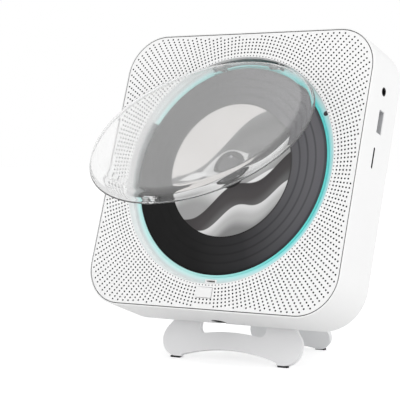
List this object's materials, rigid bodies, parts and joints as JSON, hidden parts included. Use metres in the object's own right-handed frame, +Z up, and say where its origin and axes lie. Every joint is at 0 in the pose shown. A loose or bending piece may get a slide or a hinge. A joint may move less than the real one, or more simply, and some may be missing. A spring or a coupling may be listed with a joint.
{
  "type": "wall mounted cd player",
  "caption": "Flat square disc player with a round lit disc well, a hinged clear cover, a perforated front and a folding table stand.",
  "frame": {"origin": "centre of the player's outer box, on the surface that its feet stand on", "axes": "+X to the right as seen from the front, +Y towards the back, +Z up"},
  "size_m": [0.1626, 0.1534, 0.1852],
  "materials": {
    "case_white": "satin white plastic",
    "cloth_black": "black acoustic cloth",
    "deck_grey": "dark grey plastic",
    "ring_glow": "milky light guide lit cyan",
    "board_white": "white lacquered circuit board",
    "lamp_glow": "small cyan lamps",
    "lens_dark": "dark infrared window",
    "black_plastic": "black plastic",
    "steel": "zinc-plated steel",
    "motor_steel": "drawn steel",
    "polished_steel": "ground and polished steel",
    "chassis_black": "glass-filled black plastic",
    "rubber": "soft black rubber",
    "board_green": "green lacquered circuit board",
    "chip_black": "moulded packages",
    "socket_metal": "tinned sheet steel",
    "tongue_white": "white plastic",
    "cone_paper": "black paper cone",
    "magnet_iron": "ferrite magnet",
    "stand_alloy": "satin anodised sheet",
    "clear_plastic": "clear polished plastic",
    "disc_black": "glossy black polycarbonate",
    "label_grey": "printed label",
    "hub_grey": "pale grey plastic",
    "lens_clear": "coated lens in its holder",
    "gear_white": "acetal",
    "brass": "brass"
  },
  "bodies": {
    "player": {"rear_housing": "case_white", "front_panel": "case_white", "dust_cloth": "cloth_black", "deck": "deck_grey", "light_ring": "ring_glow", "led_board": "board_white", "led_lamps": "lamp_glow", "ir_window": "lens_dark", "latch_catch": "case_white", "open_switch": "black_plastic", "cover_pins": "steel", "spindle_motor": "motor_steel", "mech_chassis": "chassis_black", "sled_rails": "polished_steel", "dampers": "rubber", "damper_screws": "steel", "sled_motor": "motor_steel", "main_board": "board_green", "board_parts": "chip_black", "socket_board": "board_green", "headphone_jack": "black_plastic", "usb_shell": "socket_metal", "usb_tongue": "tongue_white", "card_socket": "socket_metal", "power_jack": "black_plastic", "speaker_frames": "motor_steel", "speaker_cones": "cone_paper", "speaker_magnets": "magnet_iron", "key_board": "board_green", "key_switches": "black_plastic", "housing_screws": "steel", "deck_screws": "steel", "stand_screws": "steel", "leg_pin": "steel", "stand_plate": "stand_alloy", "front_pads": "rubber"},
    "cover": {"disc_cover": "clear_plastic"},
    "spindle": {"disc": "disc_black", "disc_label": "label_grey", "turntable": "hub_grey", "clamp_balls": "polished_steel", "spindle_shaft": "polished_steel"},
    "pickup": {"pickup_sled": "chassis_black", "pickup_lens": "lens_clear", "pickup_rack": "gear_white"},
    "wheel": {"sled_wheel": "gear_white"},
    "pinion": {"motor_pinion": "brass"},
    "leg": {"kick_leg": "stand_alloy", "rear_pads": "rubber"},
    "release_key": {"open_key": "case_white"},
    "button_power_cap": {"button_power": "case_white"},
    "button_previous_cap": {"button_previous": "case_white"},
    "button_play_cap": {"button_play": "case_white"},
    "button_next_cap": {"button_next": "case_white"},
    "button_mode_cap": {"button_mode": "case_white"}
  },
  "joints": [
    {"name": "cover_hinge", "type": "hinge", "parent": "player", "child": "cover", "pos_m": [0, 0.02497, 0.16493], "axis": [-1, 0, 0], "range_deg": [-35.5, 9]},
    {"name": "spindle_spin", "type": "hinge", "parent": "player", "child": "spindle", "pos_m": [0, 0.00598, 0.10695], "axis": [0, 0.9472, -0.3206], "continuous": true},
    {"name": "pickup_slide", "type": "slide", "parent": "player", "child": "pickup", "axis": [-0.7071, -0.2267, -0.6698], "range_m": [0, 0.0315]},
    {"name": "wheel_spin", "type": "hinge", "parent": "player", "child": "wheel", "pos_m": [-0.00905, 0.0054, 0.06594], "axis": [0, -0.9472, 0.3206], "range_deg": [-10, 440]},
    {"name": "pinion_spin", "type": "hinge", "parent": "player", "child": "pinion", "pos_m": [-0.00021, 0.00446, 0.05693], "axis": [0, -0.9472, 0.3206], "range_deg": [-1760, 40]},
    {"name": "leg_fold", "type": "hinge", "parent": "player", "child": "leg", "pos_m": [0, 0.04312, 0.10283], "axis": [1, 0, 0], "range_deg": [-36.2, 0]},
    {"name": "release_key_press", "type": "slide", "parent": "player", "child": "release_key", "axis": [0, 0.9472, -0.3206], "range_m": [0, 0.0006], "stiffness_N_per_m": 900},
    {"name": "button_power_press", "type": "slide", "parent": "player", "child": "button_power_cap", "axis": [0, -0.3206, -0.9472], "range_m": [0, 0.0006], "stiffness_N_per_m": 900},
    {"name": "button_previous_press", "type": "slide", "parent": "player", "child": "button_previous_cap", "axis": [0, -0.3206, -0.9472], "range_m": [0, 0.0006], "stiffness_N_per_m": 900},
    {"name": "button_play_press", "type": "slide", "parent": "player", "child": "button_play_cap", "axis": [0, -0.3206, -0.9472], "range_m": [0, 0.0006], "stiffness_N_per_m": 900},
    {"name": "button_next_press", "type": "slide", "parent": "player", "child": "button_next_cap", "axis": [0, -0.3206, -0.9472], "range_m": [0, 0.0006], "stiffness_N_per_m": 900},
    {"name": "button_mode_press", "type": "slide", "parent": "player", "child": "button_mode_cap", "axis": [0, -0.3206, -0.9472], "range_m": [0, 0.0006], "stiffness_N_per_m": 900}
  ],
  "couplings": [
    {"joint": "wheel_spin", "follows": "pickup_slide", "rad_per_m": 238.1},
    {"joint": "pinion_spin", "follows": "pickup_slide", "rad_per_m": -952.38}
  ]
}
